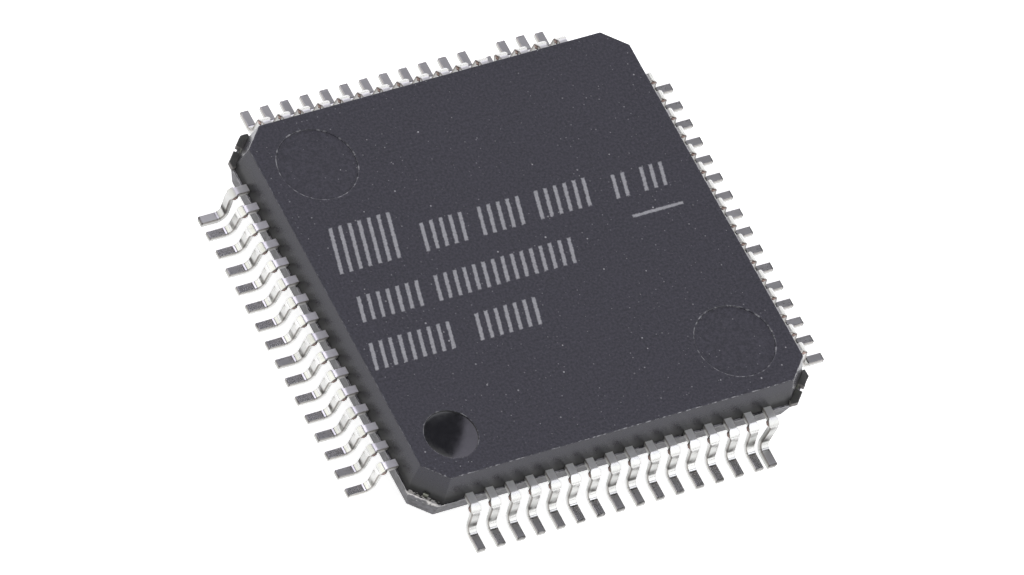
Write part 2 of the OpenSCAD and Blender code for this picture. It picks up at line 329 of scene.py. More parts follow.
# Rounding between the upper wall and the top, which starts at the wall's own slope
sweep = math.pi / 2 - UP_DRAFT
edge_in = TOP_EDGE_R * math.tan(sweep / 2)
for s in range(6):
    a = UP_DRAFT + sweep * s / 5
    shift = -up_shift - edge_in + TOP_EDGE_R * math.cos(a)
    z = TOP_Z - TOP_EDGE_R * (1 - math.sin(a))
    loops.append(body_loop(UP_HALF + shift, UP_REACH + shift, z))
base_row, top_row = loft(bm, loops)

# Ejector marks: shallow round recesses with a rolled rim, as radius and depth
steps = [
    (EJECTOR_R + 0.036, 0),
    (EJECTOR_R + 0.022, 0.003),
    (EJECTOR_R + 0.010, 0.010),
    (EJECTOR_R + 0.002, 0.020),
    (EJECTOR_R, EJECTOR_DEPTH - 0.004),
    (EJECTOR_R - 0.006, EJECTOR_DEPTH),
]
top_rims, base_rims = rim_edges(bm, top_row), rim_edges(bm, base_row)
for x, y in ((-EJECTOR_AT, EJECTOR_AT), (EJECTOR_AT, -EJECTOR_AT)):
    for z, inwards, rims in ((TOP_Z, -1, top_rims), (BASE_Z, 1, base_rims)):
        rows = [circle(x, y, z + inwards * d, r) for r, d in steps]
        if inwards < 0:
            rows = [row[::-1] for row in rows]
        first, last = loft(bm, rows)
        rims += rim_edges(bm, first)
        bm.faces.new(last)
# The pin 1 dimple: a short wall, then a dish that is part of a sphere
dish_r = (DIMPLE_R**2 + DIMPLE_DISH**2) / (2 * DIMPLE_DISH)
steps = [
    (DIMPLE_R + 0.020, 0),
    (DIMPLE_R + 0.004, 0.010),
    (DIMPLE_R + 0.001, 0.017),
    (DIMPLE_R, DIMPLE_DEPTH - 0.004),
    (DIMPLE_R - 0.001, DIMPLE_DEPTH),
    (DIMPLE_R - 0.006, DIMPLE_DEPTH + 0.0015),
]
for s in range(1, DISH_STEPS):
    r = DIMPLE_R * (1 - s / DISH_STEPS)
    fall = math.sqrt(dish_r**2 - r**2) - math.sqrt(dish_r**2 - DIMPLE_R**2)
    steps.append((r, DIMPLE_DEPTH + fall))
rows = [circle(-DIMPLE_AT, -DIMPLE_AT, TOP_Z - d, r)[::-1] for r, d in steps]
first, last = loft(bm, rows, 1)
# The polished patch starts inside the rubbed rim
for vert in first:
    for face in vert.link_faces:
        face.material_index = 0
top_rims += rim_edges(bm, first)
middle = bm.verts.new((-DIMPLE_AT, -DIMPLE_AT, TOP_Z - DIMPLE_DEPTH - DIMPLE_DISH))
for a in range(len(last)):
    face = bm.faces.new((last[a - 1], last[a], middle))
    face.smooth = True
    face.material_index = 1
for rims, up in ((top_rims, 1), (base_rims, -1)):
    bmesh.ops.triangle_fill(bm, edges=rims, use_beauty=True, normal=(0, 0, up))
bmesh.ops.recalc_face_normals(bm, faces=bm.faces)

# The thin webs that leaked round the corners at lead level, notched for the tie bars
WEB_HALF, WEB_REACH, WEB_L = LOW_HALF + 0.05, LOW_REACH + 0.065, 0.72
NOTCH_W = 0.16
# Distance between points of the outline, and how far its raggedness goes
WEB_STEP, WEB_RAGGED = 0.035, 0.012


def web_outline():
    """Outline of the web at the +X +Y corner, with points close enough to be ragged."""
    k = WEB_REACH * math.sqrt(2) - WEB_HALF
    inner = WEB_HALF - WEB_L
    along, out = Vector((-1, 1)).normalized(), Vector((1, 1)).normalized()
    corners = [Vector((inner, inner)), Vector((WEB_HALF, inner)), Vector((WEB_HALF, k))]
    for reach, side in ((WEB_REACH, -1), (UP_REACH, -1), (UP_REACH, 1), (WEB_REACH, 1)):
        corners.append(out * reach + along * side * NOTCH_W / 2)
    corners += [Vector((k, WEB_HALF)), Vector((inner, WEB_HALF))]
    points = []
    for n, here in enumerate(corners):
        after = corners[(n + 1) % len(corners)]
        steps = max(1, round((after - here).length / WEB_STEP))
        points += [here.lerp(after, s / steps) for s in range(steps)]
    return points


# The web at the pin 1 corner has broken off
for quarter in (-1, 0, 1):
    spin = Matrix.Rotation(math.radians(90 * quarter), 2)
    outline = [spin @ p for p in web_outline()]
    loops = []
    for rise, grow in (
        (0, -0.006),
        (0.01, 0),
        (LEAD_T - 0.016, 0),
        (LEAD_T - 0.003, -0.004),
        (LEAD_T, -0.014),
    ):
        z = PARTING_Z + rise
        loop = []
        for p in outline:
            ragged = noise.noise(Vector((p.x * 14, p.y * 14, 3.0 + z * 2)))
            lift = noise.noise(Vector((p.x * 11, p.y * 11, 9.0))) if rise > LEAD_T / 2 else 0
            q = p + p.normalized() * (grow + WEB_RAGGED * ragged)
            loop.append(Vector((q.x, q.y, z + WEB_RAGGED * lift)))
        loops.append(loop)
    first, last = loft(bm, loops, 2)
    for face in (bm.faces.new(first[::-1]), bm.faces.new(last)):
        face.material_index = 2

# Epoxy moulding compound from a spark-eroded mould: matt violet-black with a fine grain,
# pale specks of filler and dust, and the laser's paler hatching where a marking goes. The
# walls are smoother and mirror the leads softly. Their foot is blackened with painted shade
# towards the leads. Below the leads they are scuffed grey, and along the top edge they are
# rubbed pale, and that pale colour also paints a highlight there.
resin, tree, out = new_material("spark_grained_epoxy")
place = add(tree, "ShaderNodeTexCoord")
metres = place.outputs["Object"]
in_mm = add(tree, "ShaderNodeVectorMath", {0: metres, 3: 1 / MM}, operation="SCALE")
xyz = add(tree, "ShaderNodeSeparateXYZ", {0: in_mm.outputs[0]})
# Spark grain, 0.04 to 0.06 mm across. Each noise's scale is its lumps to the millimetre.
grain = add(
    tree,
    "ShaderNodeTexNoise",
    {"Vector": metres, "Scale": 17 / MM, "Detail": 4.0, "Roughness": 0.7},
)
# Slow cloudiness of the compound, about 1 mm across
clouds = add(tree, "ShaderNodeTexNoise", {"Vector": metres, "Scale": 1.1 / MM, "Detail": 2.0})
shade = add(
    tree,
    "ShaderNodeMix",
    {0: clouds.outputs[0], 6: linear("#24242B"), 7: linear("#2C2B34")},
    data_type="RGBA",
)
grainy = add(tree, "ShaderNodeMapRange", {0: grain.outputs[0], 1: 0.38, 2: 0.64})
dappled = add(
    tree,
    "ShaderNodeMix",
    {0: grainy.outputs[0], 6: shade.outputs[2], 7: linear("#403F49")},
    data_type="RGBA",
)

# Raggedness of flash and wear, in lumps 0.1 mm across, and the jags of torn resin
raggedness = add(tree, "ShaderNodeTexNoise", {"Vector": metres, "Scale": 9 / MM, "Detail": 3.0})
jags = add(tree, "ShaderNodeTexNoise", {"Vector": metres, "Scale": 11 / MM, "Detail": 4.0})
# Ways to measure the moulding: upwards, and along its diagonals as x + y and as |x| + |y|
up = xyz.outputs[2]
from_pin_1 = add(tree, "ShaderNodeMath", {0: xyz.outputs[0], 1: xyz.outputs[1]}, operation="ADD")
either_side = add(tree, "ShaderNodeVectorMath", {0: in_mm.outputs[0]}, operation="ABSOLUTE")
reach = add(tree, "ShaderNodeSeparateXYZ", {0: either_side.outputs[0]})
to_corner = add(
    tree, "ShaderNodeMath", {0: reach.outputs[0], 1: reach.outputs[1]}, operation="ADD"
)
ragged_up, jagged_up, jagged_from_pin_1 = (
    add(
        tree,
        "ShaderNodeMath",
        {0: unevenness.outputs[0], 1: depth, 2: way},
        operation="MULTIPLY_ADD",
    ).outputs[0]
    for unevenness, depth, way in (
        (raggedness, 0.06, up),
        (raggedness, 0.8, up),
        (jags, 0.7, from_pin_1.outputs[0]),
    )
)
# Bands of the moulding: the way along which each is measured, where it is nothing and where
# it is full
BANDS = {
    "above_parting": (up, PARTING_Z + 0.014, PARTING_Z + 0.018),
    "wall_foot": (up, PARTING_Z + 0.56, PARTING_Z + 0.12),
    "low_wall": (ragged_up, PARTING_Z + 0.27, PARTING_Z + 0.15),
    "flash_low": (ragged_up, PARTING_Z - 0.018, PARTING_Z + 0.002),
    "flash_high": (ragged_up, PARTING_Z + 0.038, PARTING_Z + 0.032),
    "edge_low": (up, TOP_Z - 0.022, TOP_Z - 0.016),
    "edge_high": (up, TOP_Z - 0.0001, TOP_Z - 0.0005),
    "corners": (to_corner.outputs[0], 8.72, 8.82),
    # The web at pin 1 broke off along a jagged line, and left a ledge inside that line
    "pin_1_corner": (from_pin_1.outputs[0], -8.75, -9.05),
    "outside_break": (jagged_from_pin_1, -9.0, -9.04),
    "torn_edge": (jagged_up, PARTING_Z + 0.28, PARTING_Z + 0.34),
    "break_low": (up, PARTING_Z - 0.006, PARTING_Z - 0.002),
    "break_high": (up, PARTING_Z + 0.02, PARTING_Z + 0.01),
}
band = {
    name: add(tree, "ShaderNodeMapRange", {0: way, 1: nothing, 2: full}).outputs[0]
    for name, (way, nothing, full) in BANDS.items()
}
# Walls are the faces that don't lie level
facing = add(tree, "ShaderNodeNewGeometry")
normal = add(tree, "ShaderNodeSeparateXYZ", {0: facing.outputs["Normal"]})
level = add(tree, "ShaderNodeMath", {0: normal.outputs[2]}, operation="ABSOLUTE")
wall = add(tree, "ShaderNodeMapRange", {0: level.outputs[0], 1: 0.9, 2: 0.7})
on_top, below, inside_break = (
    add(tree, "ShaderNodeMath", {0: 1.0, 1: other}, operation="SUBTRACT").outputs[0]
    for other in (wall.outputs[0], band["above_parting"], band["outside_break"])
)
wear = add(
    tree,
    "ShaderNodeMapRange",
    {0: raggedness.outputs[0], 1: 0.48, 2: 0.64, 3: 0.0, 4: 0.9},
)
# The top edge over pins 49 to 64 has the least wear and painted highlight
less_wear_and_highlight = add(
    tree, "ShaderNodeMapRange", {0: xyz.outputs[0], 1: -4.74, 2: -4.66, 3: 0.3, 4: 1.0}
)
# Each place is where all of these hold: painted shade at the foot of the upper walls,
# painted shade blacker still at the corners, pale flash at the parting line, the rubbed top
# edge, whose pale colour also paints a highlight, and at pin 1 a ledge blackened with
# painted shade, with the pale torn edge outside it
PLACES = {
    "foot": (band["above_parting"], band["wall_foot"]),
    "painted_shade_corners": (band["corners"], band["low_wall"], band["above_parting"]),
    "flashed": (band["flash_low"], band["flash_high"]),
    "wear_and_highlight": (band["edge_low"], band["edge_high"], wear.outputs[0], less_wear_and_highlight.outputs[0]),
    # The ledge at pin 1 is blackened with painted shade
    "ledge": (band["pin_1_corner"], inside_break, band["break_low"], band["break_high"]),
    "torn": (
        band["pin_1_corner"],
        band["outside_break"],
        band["torn_edge"],
        band["break_high"],
    ),
}
# How much of each place every point has
share_of = {}
for name, (share, *others) in PLACES.items():
    for other in others:
        both = add(tree, "ShaderNodeMath", {0: share, 1: other}, operation="MULTIPLY")
        share = both.outputs[0]
    share_of[name] = share
# Mottling of the scuffed lower wall, in patches 0.1 mm across
mottle = add(tree, "ShaderNodeTexNoise", {"Vector": metres, "Scale": 8 / MM, "Detail": 4.0})
scuffs = add(tree, "ShaderNodeMapRange", {0: mottle.outputs[0], 1: 0.35, 2: 0.65})
scuffed = add(
    tree,
    "ShaderNodeMix",
    {0: scuffs.outputs[0], 6: linear("#19181C"), 7: linear("#504F56")},
    data_type="RGBA",
)
wall_tone = add(tree, "ShaderNodeMath", {0: wall.outputs[0], 1: 0.9}, operation="MULTIPLY")
colour = dappled.outputs[2]
# Colours laid over the grain: the walls' tone, painted shade at the wall foot and at the corners,
# the scuffed lower wall, pale flash, painted shade on the pin 1 ledge, the pale torn edge, and the
# rubbed top edge, which also paints a highlight
for amount, over in (
    (wall_tone.outputs[0], linear("#1A1926")),
    (share_of["foot"], linear("#0E0E0F")),
    (share_of["painted_shade_corners"], linear("#09090A")),
    (below, scuffed.outputs[2]),
    (share_of["flashed"], linear("#8F8E93")),
    (share_of["ledge"], linear("#0C0C0D")),
    (share_of["torn"], linear("#B5B2AF")),
    (share_of["wear_and_highlight"], linear("#8C8C90")),
):
    laid = add(tree, "ShaderNodeMix", {0: amount, 6: colour, 7: over}, data_type="RGBA")
    colour = laid.outputs[2]

# Specks of dust and filler on the top face: a few up to 0.04 mm across, and many finer
# ones. Cells to the millimetre, share of them that are bare, smallest and largest radius
# in cells, and faintest and palest.
SPECKS = [(3.3, 0.88, (0.02, 0.07), (0.1, 0.9)), (7.5, 0.80, (0.03, 0.12), (0.02, 0.35))]
for fineness, empty, radii, tones in SPECKS:
    cells = add(
        tree,
        "ShaderNodeTexVoronoi",
        {"Vector": metres, "Scale": fineness / MM},
        voronoi_dimensions="2D",
    )
    chance = add(tree, "ShaderNodeSeparateColor", {0: cells.outputs["Color"]})
    radius = add(
        tree,
        "ShaderNodeMapRange",
        {0: chance.outputs[0], 1: empty, 2: 1.0, 3: radii[0], 4: radii[1]},
    )
    there = add(
        tree, "ShaderNodeMath", {0: chance.outputs[0], 1: empty}, operation="GREATER_THAN"
    )
    dot = add(
        tree,
        "ShaderNodeMath",
        {0: radius.outputs[0], 1: cells.outputs["Distance"]},
        operation="SUBTRACT",
    )
    soft = add(tree, "ShaderNodeMapRange", {0: dot.outputs[0], 1: -0.02, 2: 0.02})
    pale = add(tree, "ShaderNodeMapRange", {0: chance.outputs[1], 3: tones[0], 4: tones[1]})
    speck = soft
    for mask in (there.outputs[0], pale.outputs[0], on_top):
        speck = add(tree, "ShaderNodeMath", {0: speck.outputs[0], 1: mask}, operation="MULTIPLY")
    specked = add(
        tree,
        "ShaderNodeMix",
        {0: speck.outputs[0], 6: colour, 7: linear("#C4C3C6")},
        data_type="RGBA",
    )
    colour = specked.outputs[2]

# Laser hatching: rows of slanting strokes, in plain groups, and one bar. Each group is its
# first and last stroke, the middle of its row and half its height, in millimetres.
STROKE_GAP, STROKE_W, STROKE_SLANT = 0.24, 0.085, 0.24
GROUPS = [
    (-19, -12, 1.30, 0.58),
    (-10, -5, 1.05, 0.36),
    (-4, 1, 1.05, 0.36),
    (2, 8, 1.05, 0.36),
    (10, 12, 0.98, 0.30),
    (13, 16, 0.98, 0.30),
    (-18, -11, -0.25, 0.32),
    (-10, 5, -0.25, 0.32),
    (-18, -9, -1.45, 0.34),
    (-7, 0, -1.45, 0.34),
]
# Middle and half size of the bar, and half the depth of all fields
BAR = (3.41, 0.15, 0.64, 0.035)
FIELD_DEPTH = 0.02
# The edges of the strokes wander by a few hundredths of a millimetre
wander = add(tree, "ShaderNodeTexNoise", {"Vector": metres, "Scale": 20 / MM, "Detail": 2.0})
slanted_x = add(
    tree,
    "ShaderNodeMath",
    {0: xyz.outputs[1], 1: -STROKE_SLANT, 2: xyz.outputs[0]},
    operation="MULTIPLY_ADD",
)
slanted = add(
    tree,
    "ShaderNodeCombineXYZ",
    {0: slanted_x.outputs[0], 1: xyz.outputs[1], 2: xyz.outputs[2]},
)
boxes = [
    (
        slanted,
        (STROKE_GAP * (first + last) / 2, y, TOP_Z),
        (STROKE_GAP * (last - first) / 2, half_h, FIELD_DEPTH),
    )
    for first, last, y, half_h in GROUPS
]
boxes.append((in_mm, (BAR[0], BAR[1], TOP_Z), (BAR[2], BAR[3], FIELD_DEPTH)))
fields = []
for point, middle, half in boxes:
    from_middle = add(
        tree, "ShaderNodeVectorMath", {0: point.outputs[0], 1: middle}, operation="SUBTRACT"
    )
    folded = add(tree, "ShaderNodeVectorMath", {0: from_middle.outputs[0]}, operation="ABSOLUTE")
    inside = add(
        tree, "ShaderNodeVectorMath", {0: folded.outputs[0], 1: half}, operation="SUBTRACT"
    )
    split = add(tree, "ShaderNodeSeparateXYZ", {0: inside.outputs[0]})
    wide = add(
        tree, "ShaderNodeMath", {0: split.outputs[0], 1: split.outputs[1]}, operation="MAXIMUM"
    )
    field = add(
        tree, "ShaderNodeMath", {0: wide.outputs[0], 1: split.outputs[2]}, operation="MAXIMUM"
    )
    fields.append(field)
edge = fields[0]
for field in fields[1:-1]:
    edge = add(
        tree, "ShaderNodeMath", {0: edge.outputs[0], 1: field.outputs[0]}, operation="MINIMUM"
    )
# How far each point is from the nearest stroke, cut to the groups, with the bar beside them
step = add(
    tree,
    "ShaderNodeMath",
    {0: slanted_x.outputs[0], 1: STROKE_GAP},
    operation="FLOORED_MODULO",
)
centred = add(
    tree, "ShaderNodeMath", {0: step.outputs[0], 1: STROKE_GAP / 2}, operation="SUBTRACT"
)
fold = add(tree, "ShaderNodeMath", {0: centred.outputs[0]}, operation="ABSOLUTE")
stroke = add(tree, "ShaderNodeMath", {0: fold.outputs[0], 1: STROKE_W / 2}, operation="SUBTRACT")
hatch = add(
    tree, "ShaderNodeMath", {0: stroke.outputs[0], 1: edge.outputs[0]}, operation="MAXIMUM"
)
marks = add(
    tree, "ShaderNodeMath", {0: hatch.outputs[0], 1: fields[-1].outputs[0]}, operation="MINIMUM"
)
rough_edge = add(
    tree,
    "ShaderNodeMath",
    {0: wander.outputs[0], 1: 0.05, 2: marks.outputs[0]},
    operation="MULTIPLY_ADD",
)
lasered = add(
    tree, "ShaderNodeMapRange", {0: rough_edge.outputs[0], 1: 0.012, 2: 0.038, 3: 1.0, 4: 0.0}
)
burnt = add(
    tree, "ShaderNodeMapRange", {0: grain.outputs[0], 1: 0.25, 2: 0.75, 3: 0.55, 4: 1.0}
)
mark_amount = add(
    tree, "ShaderNodeMath", {0: lasered.outputs[0], 1: burnt.outputs[0]}, operation="MULTIPLY"
)
marked = add(
    tree,
    "ShaderNodeMix",
    {0: mark_amount.outputs[0], 6: specked.outputs[2], 7: linear("#AEAEB2")},
    data_type="RGBA",
)
# Rough on the top, and how much rougher or smoother each place is
roughness = add(
    tree, "ShaderNodeMapRange", {0: grain.outputs[0], 1: 0.2, 2: 0.8, 3: 0.44, 4: 0.58}
)
for share, rougher in (
    (wall.outputs[0], -0.28),
    (share_of["foot"], 0.11),
    (share_of["painted_shade_corners"], 0.35),
    (below, 0.22),
    (share_of["wear_and_highlight"], -0.1),
):
    roughness = add(
        tree,
        "ShaderNodeMath",
        {0: share, 1: rougher, 2: roughness.outputs[0]},
        operation="MULTIPLY_ADD",
    )
# Relief of the grain, plain on the top and faint on the walls
grain_depth = add(tree, "ShaderNodeMapRange", {0: wall.outputs[0], 3: 0.4, 4: 0.06})
grained = add(
    tree,
    "ShaderNodeBump",
    {"Height": grain.outputs[0], "Strength": grain_depth.outputs[0], "Distance": 0.012 * MM},
)
lumps = add(tree, "ShaderNodeMath", {0: below, 1: 0.35}, operation="MULTIPLY")
bump = add(
    tree,
    "ShaderNodeBump",
    {
        "Height": mottle.outputs[0],
        "Strength": lumps.outputs[0],
        "Distance": 0.03 * MM,
        "Normal": grained.outputs[0],
    },
)
surface = add(
    tree,
    "ShaderNodeBsdfPrincipled",
    {
        "Base Color": marked.outputs[2],
        "Roughness": roughness.outputs[0],
        "Normal": bump.outputs[0],
        "IOR": 1.5,
    },
)
tree.links.new(surface.outputs[0], out.inputs[0])

# The same compound where the mould was polished: glossy black, with soft reflections
polished, tree, out = new_material("polished_epoxy")
place = add(tree, "ShaderNodeTexCoord")
haze = add(
    tree,
    "ShaderNodeTexNoise",
    {"Vector": place.outputs["Object"], "Scale": 9 / MM, "Detail": 2.0},
)
roughness = add(
    tree, "ShaderNodeMapRange", {0: haze.outputs[0], 1: 0.3, 2: 0.7, 3: 0.12, 4: 0.22}
)
surface = add(
    tree,
    "ShaderNodeBsdfPrincipled",
    {"Base Color": linear("#1F1F23"), "Roughness": roughness.outputs[0], "IOR": 1.62},
)
tree.links.new(surface.outputs[0], out.inputs[0])

# The same compound where it leaked into the webs: dull olive-black, and paler where the
# outer edge was torn
leaked, tree, out = new_material("leaked_epoxy")
place = add(tree, "ShaderNodeTexCoord")
blotches = add(
    tree,
    "ShaderNodeTexNoise",
    {"Vector": place.outputs["Object"], "Scale": 7 / MM, "Detail": 3.0},
)
tone = add(
    tree,
    "ShaderNodeMix",
    {0: blotches.outputs[0], 6: linear("#20211F"), 7: linear("#4A4A45")},
    data_type="RGBA",
)
facing = add(tree, "ShaderNodeNewGeometry")
normal = add(tree, "ShaderNodeSeparateXYZ", {0: facing.outputs["Normal"]})
rim = add(tree, "ShaderNodeMapRange", {0: normal.outputs[2], 1: 0.97, 2: 0.6})
torn_rim = add(
    tree,
    "ShaderNodeMix",
    {0: rim.outputs[0], 6: tone.outputs[2], 7: linear("#6A6765")},
    data_type="RGBA",
)
roughness = add(
    tree, "ShaderNodeMapRange", {0: blotches.outputs[0], 1: 0.3, 2: 0.7, 3: 0.45, 4: 0.65}
)
surface = add(
    tree,
    "ShaderNodeBsdfPrincipled",
    {"Base Color": torn_rim.outputs[2], "Roughness": roughness.outputs[0], "IOR": 1.55},
)
tree.links.new(surface.outputs[0], out.inputs[0])

body = mesh_object("moulded_resin_body", bm, [resin, polished, leaked])
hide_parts("moulded_body")
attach(body, "root")

# ---------------------------------------------------------------- Leads
# Sixty-four strips of copper alloy, stamped, plated with matt tin, trimmed from their
# dam bars and formed to gull wings. Bare copper shows where the dam bars were cut off.
PITCH, SIDE_LEADS = 0.5, 16
LEAD_W, LEAD_Z = 0.2, PARTING_Z + LEAD_T / 2
TIP_AT, FOOT_L, LEG_LEAN = 6.0, 0.38, 6
SHOULDER_R, HEEL_R = 0.187, 0.223
# Slope at which the stub of the dam bar starts, the degrees that it takes up, and how far
# it stands out
STUB_FROM, STUB_TURN, STUB_OUT = 17, 47, 0.03
INNER_TIP, INNER_END, FAN_END = 3.1, 3.45, 4.548
INNER_SHARE = 0.34 / PITCH
ROLLED_R, SHEARED_R = 0.014, 0.012
# Slopes, in degrees, at which a grey line crosses the heel
HEEL_LINES = (4, 24)
# Slope of the leg, and the steps in which the bends turn to it
TURN, BEND_STEP = 90 - LEG_LEAN, 4
turn = math.radians(TURN)
leg_l = (LEAD_Z - LEAD_T / 2 - (SHOULDER_R + HEEL_R) * (1 - math.cos(turn))) / math.sin(turn)
shoulder_end = TIP_AT - FOOT_L - (SHOULDER_R + HEEL_R) * math.sin(turn) - leg_l * math.cos(turn)

# Stations along the strip: distance out, height, slope in degrees, half width, how much the
# forming tool burnished it, and how strongly it is banded grey
stations = []
# From the inner tip, through the resin, to the shoulder
for r in (INNER_TIP, 3.112, 3.12, INNER_END, 3.8, 4.2, FAN_END, 4.75, 4.94, 5.04, 5.13, 5.165):
    stations.append((r, LEAD_Z, 0, LEAD_W / 2, 0, 0))
# The shoulder's bend, with the stubs of the dam bar
for a in range(0, TURN + 1, BEND_STEP):
    share = (a - STUB_FROM) / STUB_TURN
    bulge = STUB_OUT * max(0, 1 - (2 * share - 1) ** 6) if 0 < share < 1 else 0
    r = shoulder_end + SHOULDER_R * math.sin(math.radians(a))
    z = LEAD_Z - SHOULDER_R * (1 - math.cos(math.radians(a)))
    grey_band = max(0, min(1, (a - 62) / 8, (88 - a) / 10))
    stations.append((r, z, a, LEAD_W / 2 + bulge, min(1, a / 16), grey_band))
# The leg, banded grey towards the heel
r, z = stations[-1][:2]
for share, grey_band in ((0.2, 0.0), (0.4, 0.0), (0.6, 0.6), (0.8, 1.0)):
    d = leg_l * share
    stations.append((r + d * math.cos(turn), z - d * math.sin(turn), TURN, LEAD_W / 2, 0.3, grey_band))
# The heel's bend, and then the foot
r, z = r + leg_l * math.cos(turn), z - leg_l * math.sin(turn)
for a in range(TURN, -1, -BEND_STEP):
    t = math.radians(a)
    stations.append(
        (
            r + HEEL_R * (math.sin(turn) - math.sin(t)),
            z - HEEL_R * (math.cos(t) - math.cos(turn)),
            a,
            LEAD_W / 2,
            1 - 0.7 * max(0, (a - 60) / 24),
            0.9 if a in HEEL_LINES else max(0, (a - 72) / 12),
        )
    )
for r in (5.635, 5.7, 5.8, 5.9, 5.96, 5.985, TIP_AT):
    stations.append((r, LEAD_T / 2, 0, LEAD_W / 2, 0.7, 1.0 if r > 5.98 else 0))


def strip_section(half_w, shrink=0.0):
    """Section of the strip, rolled over on top, sheared sharper below: (across, up, side).

    Side goes from 0 on the flats to 1 where the shear rolled the upper edge over.
    """
    half_t = LEAD_T / 2
    points = []
    for x, y, radius, start in (
        (1, 1, ROLLED_R, 90),
        (1, -1, SHEARED_R, 0),
        (-1, -1, SHEARED_R, -90),
        (-1, 1, ROLLED_R, -180),
    ):
        cx, cy = x * (half_w - radius), y * (half_t - radius)
        corner = []
        for step in range(5):
            a = math.radians(start - 22.5 * step)
            c, s = math.cos(a), math.sin(a)
            px, py = cx + (radius - shrink) * c, cy + (radius - shrink) * s
            corner.append((px, py, abs(c) ** 0.25 if y > 0 and abs(c) > 0.01 else 0.0))
        # One more point on each straight, close to the rounding, keeps the straights flat
        level, upright = 0.004 * x, 0.004 * y
        before = (-level, 0) if start % 180 else (0, -upright)
        after = (0, -upright) if start % 180 else (-level, 0)
        first, last = corner[0], corner[-1]
        points.append((first[0] + before[0], first[1] + before[1], first[2]))
        points += corner
        points.append((last[0] + after[0], last[1] + after[1], last[2]))
    return points


# Faces of the section that lie on its two sheared sides
SIDE_FACES = (5, 6, 7, 19, 20, 21)
bm = bmesh.new()
burnish = bm.verts.layers.float.new("burnish")
sheared = bm.verts.layers.float.new("sheared")
grey_band_at = bm.verts.layers.float.new("grey_band")
strip = bm.verts.layers.float_vector.new("strip")
bare = bm.faces.layers.bool.new("bare")
rows = []
travel = 0.0
for n, (r, z, slope, half_w, shine, grey_band) in enumerate(stations):
    shrink = 0.005 if n in (0, len(stations) - 1) else 0.0
    c, s = math.cos(math.radians(slope)), math.sin(math.radians(slope))
    if n:
        travel += math.hypot(r - stations[n - 1][0], z - stations[n - 1][1])
    row = []
    for across, up, side in strip_section(half_w, shrink):
        vert = bm.verts.new((across, -(r + up * s), z + up * c))
        vert[burnish] = shine
        vert[sheared] = 1.0 if n == len(stations) - 1 and up > 0.03 else side
        vert[grey_band_at] = grey_band if up > 0 else 0.0
        vert[strip] = (across, travel, up)
        row.append(vert)
    rows.append(row)
for n in range(len(rows) - 1):
    low, high = rows[n], rows[n + 1]
    on_stub = max(stations[n][3], stations[n + 1][3]) > LEAD_W / 2 + 0.02
    for a in range(len(low)):
        b = (a + 1) % len(low)
        face = bm.faces.new((low[a], high[a], high[b], low[b]))
        face.smooth = True
        face[bare] = on_stub and a in SIDE_FACES
for row in (rows[0], rows[-1]):
    bm.faces.new(row)
bmesh.ops.recalc_face_normals(bm, faces=bm.faces)

# Matt tin over copper: pale and finely crystalline where it is as plated, smooth with fine
# lengthwise lines where the forming tool slid, greyer in bands across the bends and the heel,
# and darker with painted shade on the sheared sides
tin, tree, out = new_material("matt_tin_plate")
place = add(tree, "ShaderNodeTexCoord")
metres = place.outputs["Object"]
slid = add(tree, "ShaderNodeAttribute", attribute_name="burnish")
cut = add(tree, "ShaderNodeAttribute", attribute_name="sheared")
marked = add(tree, "ShaderNodeAttribute", attribute_name="grey_band")
along = add(tree, "ShaderNodeAttribute", attribute_name="strip")
dull = add(tree, "ShaderNodeAttribute", attribute_name="dullness")
# Crystals of the plating, drawn 0.03 mm across so that they show
crystals = add(tree, "ShaderNodeTexNoise", {"Vector": metres, "Scale": 30 / MM, "Detail": 3.0})
smears = add(tree, "ShaderNodeTexNoise", {"Vector": metres, "Scale": 6 / MM, "Detail": 3.0})
# Tool lines along the strip, 0.03 mm apart and 0.4 mm long, different on each lead
own = add(tree, "ShaderNodeVectorMath", {0: metres, 3: 1.5 / MM}, operation="SCALE")
lengthwise = add(
    tree,
    "ShaderNodeVectorMath",
    {0: along.outputs["Vector"], 1: (34.0, 2.5, 0.0), 2: own.outputs[0]},
    operation="MULTIPLY_ADD",
)
lines = add(
    tree, "ShaderNodeTexNoise", {"Vector": lengthwise.outputs[0], "Scale": 1.0, "Detail": 3.0}
)
as_plated = add(tree, "ShaderNodeMapRange", {0: slid.outputs["Fac"], 3: 1.0, 4: 0.0})
grown = add(
    tree,
    "ShaderNodeMath",
    {0: crystals.outputs[0], 1: as_plated.outputs[0]},
    operation="MULTIPLY",
)
# Painted shade darkens the sheared side below the upper edge, on the torn band that the shear left
# there, and the side is paler under it
torn = add(tree, "ShaderNodeMapRange", {0: cut.outputs["Fac"], 1: 0.45, 2: 0.95})
# Crystals, tool lines, tarnish and torn metal each roughen the plate, which is smoothest
# where the tool slid
roughness = add(tree, "ShaderNodeMapRange", {0: slid.outputs["Fac"], 3: 0.26, 4: 0.12})
for share, rougher in (
    (grown.outputs[0], 0.32),
    (lines.outputs[0], 0.08),
    (dull.outputs["Fac"], 0.05),
    (torn.outputs[0], 0.12),
):
    roughness = add(
        tree,
        "ShaderNodeMath",
        {0: share, 1: rougher, 2: roughness.outputs[0]},
        operation="MULTIPLY_ADD",
    )
own_tone = add(
    tree,
    "ShaderNodeMath",
    {0: dull.outputs["Fac"], 1: -0.5, 2: smears.outputs[0]},
    operation="MULTIPLY_ADD",
)
tone = add(
    tree,
    "ShaderNodeMix",
    {0: own_tone.outputs[0], 6: linear("#CFCFCD"), 7: linear("#EFEFED")},
    data_type="RGBA",
)
patchy = add(tree, "ShaderNodeMapRange", {0: smears.outputs[0], 1: 0.35, 2: 0.6, 3: 0.4})
scuffs = add(
    tree,
    "ShaderNodeMath",
    {0: marked.outputs["Fac"], 1: patchy.outputs[0]},
    operation="MULTIPLY",
)
